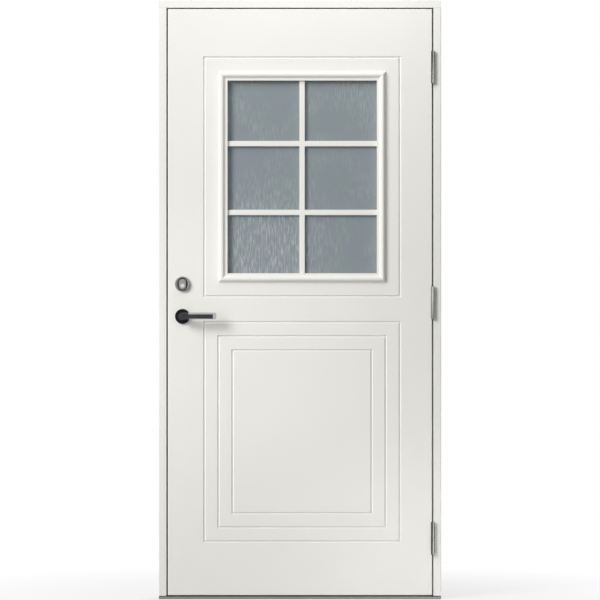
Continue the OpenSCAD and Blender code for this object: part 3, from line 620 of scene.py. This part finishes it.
def screwTree():
    tree, gi, go = newGroup(
        "GeometryNodeTree", "setScrews",
        [("Places", "Geometry", None), ("Screw", "Object", None), ("Finish", "Material", None),
         ("Seed", "Int", 7)],
        [("Screws", "Geometry")])
    pattern = put(tree, "GeometryNodeObjectInfo", {"Object": gi.outputs["Screw"]})
    facing = put(tree, "GeometryNodeInputNamedAttribute", {"Name": "facing"}, data_type="FLOAT")
    # socket 3 is the greatest of the float range, and the cross repeats every quarter turn
    twist = put(tree, "FunctionNodeRandomValue", {3: math.pi / 2, "Seed": gi.outputs["Seed"]},
                data_type="FLOAT")
    turn = put(tree, "ShaderNodeCombineXYZ",
               {"X": twist.outputs[1], "Z": facing.outputs["Attribute"]})
    placed = put(tree, "GeometryNodeInstanceOnPoints",
                 {"Points": gi.outputs["Places"], "Instance": pattern.outputs["Geometry"],
                  "Rotation": turn.outputs[0]})
    feed(tree, go, Screws=realized(tree, placed, gi.outputs["Finish"]))
    return tree


def grown(name, mesh, tree, **values):
    seed = newObject(name + "Seed", mesh)
    work = seed.modifiers.new(tree.name, "NODES")
    work.node_group = tree
    for item in tree.interface.items_tree:
        if item.in_out == "INPUT" and item.name in values:
            work[item.identifier] = values[item.name]
    made = newObject(name, evaluatedMesh(seed))
    dropObject(seed)
    return made


# where a screw's head is, and which way it looks along X
def headOf(part):
    xs = [p.x for p in part]
    low, high = min(xs), max(xs)
    mid = sum(part, Vector()) / len(part)
    wide = max(part, key=lambda p: (p.y - mid.y) ** 2 + (p.z - mid.z) ** 2)
    atLow = wide.x - low < high - wide.x
    return (low if atLow else high, mid.y, mid.z), 0.0 if atLow else math.pi


# plain rod with softened ends, in place of a through bolt that runs along Y
def addRod(bm, part, s):
    xs, ys = [p.x for p in part], [p.y for p in part]
    front, back, radius, soft = min(ys), max(ys), (max(xs) - min(xs)) / 2, s["softEdge"]
    rod = bmesh.new()
    turned(rod, [(front, radius - soft), (front + soft, radius), (back - soft, radius),
                 (back, radius - soft)], s["sides"])
    centre = sum(part, Vector()) / len(part)
    along = Matrix.Rotation(math.pi / 2, 4, "Z")
    rod.transform(Matrix.Translation((centre.x, 0, centre.z)) @ along)
    rodMesh = meshFrom(rod, "rod")
    bm.from_mesh(rodMesh)
    bpy.data.meshes.remove(rodMesh)


def setScrews(name, node, tree, screw, s):
    places, facing, bolts = [], [], []
    for part in looseParts(node, s["weld"]):
        spans = [max(p[i] for p in part) - min(p[i] for p in part) for i in range(3)]
        if spans[0] < max(spans):
            bolts.append(part)
            continue
        place, turn = headOf(part)
        places.append(place)
        facing.append(turn)
    mesh = bpy.data.meshes.new(name + "Places")
    mesh.from_pydata(places, [], [])
    mesh.attributes.new("facing", "FLOAT", "POINT").data.foreach_set("value", facing)
    made = grown(name, mesh, tree, Screw=screw, Finish=finishes["satinSteel"], Seed=s["seed"])
    bm = bmesh.new()
    bm.from_mesh(made.data)
    for part in bolts:
        addRod(bm, part, s)
    bm.to_mesh(made.data)
    bm.free()
    return made


screwPattern, screwSetter = makeScrew(screwSet), screwTree()
for name, node, body in (("frameScrews", "frame_fasteners", "frame"),
                         ("leafScrews", "leaf_fasteners", "leaf")):
    piece = setScrews(name, node, screwSetter, screwPattern, screwSet)
    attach(piece, body)
    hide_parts(node)
    print(name, len(piece.data.polygons), "faces")
dropObject(screwPattern)


# sill: low rounded ribs along the tread, between the jambs
ribSet = {
    "width": 0.003,
    "height": 0.0008,
    "sunk": 0.0002,
    "pitch": 0.008,
    "margin": 0.007,
    "clear": 0.003,
    "steps": 9,
    "level": 1e-5,  # corners this close count as level
}


def ribTree():
    tree, gi, go = newGroup(
        "GeometryNodeTree", "layRibs",
        [("First", "Vector", (0, 0, 0)), ("Step", "Vector", (0, 0.008, 0)), ("Count", "Int", 6),
         ("Length", "Float", 0.9), ("Width", "Float", 0.003), ("Height", "Float", 0.0008),
         ("Steps", "Int", 9), ("Finish", "Material", None)],
        [("Ribs", "Geometry")])
    half = maths(tree, "MULTIPLY", gi.outputs["Length"], 0.5)
    start = put(tree, "ShaderNodeCombineXYZ", {"X": maths(tree, "MULTIPLY", half, -1.0)})
    end = put(tree, "ShaderNodeCombineXYZ", {"X": half})
    path = put(tree, "GeometryNodeCurvePrimitiveLine",
               {"Start": start.outputs[0], "End": end.outputs[0]})
    # from half a turn on, so that the round side is up
    arc = put(tree, "GeometryNodeCurveArc",
              {"Resolution": gi.outputs["Steps"], "Radius": 1.0, "Start Angle": math.pi,
               "Sweep Angle": math.pi})
    closed = put(tree, "GeometryNodeSetSplineCyclic",
                 {"Geometry": arc.outputs["Curve"], "Cyclic": True})
    size = put(tree, "ShaderNodeCombineXYZ",
               {"X": maths(tree, "MULTIPLY", gi.outputs["Width"], 0.5),
                "Y": gi.outputs["Height"], "Z": 1.0})
    section = put(tree, "GeometryNodeTransform",
                  {"Geometry": closed.outputs[0], "Scale": size.outputs[0]})
    rib = put(tree, "GeometryNodeCurveToMesh",
              {"Curve": path.outputs["Curve"], "Profile Curve": section.outputs[0],
               "Fill Caps": True})
    row = put(tree, "GeometryNodeMeshLine",
              {"Count": gi.outputs["Count"], "Start Location": gi.outputs["First"],
               "Offset": gi.outputs["Step"]})
    laid = put(tree, "GeometryNodeInstanceOnPoints",
               {"Points": row.outputs[0], "Instance": rib.outputs[0]})
    feed(tree, go, Ribs=realized(tree, laid, gi.outputs["Finish"]))
    return tree


def layRibs(s):
    corners = [vert.co for vert in nodes["sill_cover"].data.vertices]
    front = min(p.y for p in corners)
    tread = max(p.z for p in corners if p.y < front + s["level"])
    riser = max(p.y for p in corners if abs(p.z - tread) < s["level"])
    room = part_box("hinge_jamb")[0].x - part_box("lock_jamb")[1].x
    count = int((riser - front - 2 * s["margin"]) / s["pitch"]) + 1
    first = (0, (front + riser - (count - 1) * s["pitch"]) / 2, tread - s["sunk"])
    return grown("sillRibs", bpy.data.meshes.new("sillRibsSeed"), ribTree(), First=first,
                 Step=(0, s["pitch"], 0), Count=count, Length=room - 2 * s["clear"],
                 Width=s["width"], Height=s["height"] + s["sunk"], Steps=s["steps"],
                 Finish=finishes["sillAluminium"])


ribs = layRibs(ribSet)
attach(ribs, "frame")
print("sillRibs", len(ribs.data.polygons), "faces")


# studio: white surround, pale floor, key from the upper left, weaker lamps at the left, above,
# low on the right and behind
studioSet = {
    "ambient": 0.15,
    "floorSize": 7.0,
    "floorTone": 0.62,
    "floorShade": 0.28,
    "floorGlow": 0.62,
    "shadeReach": (0.4, 1.5),
}
lampSet = {
    "key": {"place": (-5.6, -5.7, 4.9), "aim": (0.0, 0.0, 0.9), "size": 4.2, "power": 656.0,
            "spread": 180.0},
    "side": {"place": (-1.6, -2.0, 0.9), "aim": (-0.22, 0.0, 0.85), "size": 0.8, "power": 0.36,
             "spread": 34.0},
    "top": {"place": (0.12, -0.75, 2.85), "aim": (0.0, 0.0, 2.0), "size": 0.8, "power": 6.2,
            "spread": 180.0},
    "low": {"place": (1.1, -1.9, 0.45), "aim": (0.45, 0.0, 0.12), "size": 0.8, "power": 0.3,
            "spread": 24.0},
    "rear": {"place": (1.9, 4.4, 3.4), "aim": (0.0, 0.0, 1.1), "size": 3.0, "power": 200.0,
             "spread": 180.0},
}


def makeLamp(name, s):
    data = bpy.data.lights.new(name, "AREA")
    data.shape, data.size, data.energy = "DISK", s["size"], s["power"]
    data.spread = math.radians(s["spread"])
    lamp = newObject(name, data)
    lamp.location = s["place"]
    look = Vector(s["aim"]) - Vector(s["place"])
    lamp.rotation_euler = look.to_track_quat("-Z", "Y").to_euler()


def seenPlainly(tree):
    path = tree.nodes.new("ShaderNodeLightPath").outputs
    seen = maths(tree, "MAXIMUM", path["Is Camera Ray"], path["Is Glossy Ray"])
    return maths(tree, "MAXIMUM", seen, path["Is Transmission Ray"])


def twoShaders(tree, lighting, seen):
    return put(tree, "ShaderNodeMixShader",
               {0: seenPlainly(tree), 1: lighting.outputs[0], 2: seen.outputs[0]}).outputs[0]


def makeSurround(s):
    world = bpy.data.worlds.new("studio")
    bpy.context.scene.world = world
    world.use_nodes = True
    tree = world.node_tree
    soft = tree.nodes["Background"]
    soft.inputs["Strength"].default_value = s["ambient"]
    soft.inputs["Color"].default_value = (1, 1, 1, 1)
    white = put(tree, "ShaderNodeBackground", {"Color": (1, 1, 1, 1), "Strength": 1.0})
    feed(tree, tree.nodes["World Output"], Surface=twoShaders(tree, soft, white))


# the floor shows shadows near the door and runs out to plain white
def makeFloor(s):
    half = s["floorSize"] / 2
    mesh = bpy.data.meshes.new("floor")
    corners = [(-half, -half, 0), (half, -half, 0), (half, half, 0), (-half, half, 0)]
    mesh.from_pydata(corners, [], [(0, 1, 2, 3)])
    floor = newObject("floor", mesh)
    mat = bpy.data.materials.new("paleFloor")
    mat.use_nodes = True
    tree = mat.node_tree
    tree.nodes.remove(tree.nodes["Principled BSDF"])
    tone = s["floorTone"]
    plain = put(tree, "ShaderNodeBsdfDiffuse", {"Color": (tone, tone, tone, 1)})
    coords = tree.nodes.new("ShaderNodeTexCoord").outputs["Object"]
    away = vectors(tree, "DISTANCE", coords, (0, 0, 0))
    shade = ramped(tree, away, *s["shadeReach"], s["floorShade"], 0.0)
    bright = ramped(tree, away, *s["shadeReach"], s["floorGlow"], 1.0)
    faint = put(tree, "ShaderNodeBsdfDiffuse", {"Color": shade})
    glow = put(tree, "ShaderNodeEmission", {"Color": (1, 1, 1, 1), "Strength": bright})
    shown = put(tree, "ShaderNodeAddShader", {0: faint.outputs[0], 1: glow.outputs[0]})
    feed(tree, tree.nodes["Material Output"], Surface=twoShaders(tree, plain, shown))
    mesh.materials.append(mat)


for name, lamp in lampSet.items():
    makeLamp(name, lamp)
makeSurround(studioSet)
makeFloor(studioSet)
print("lit by", len(lampSet), "lamps")
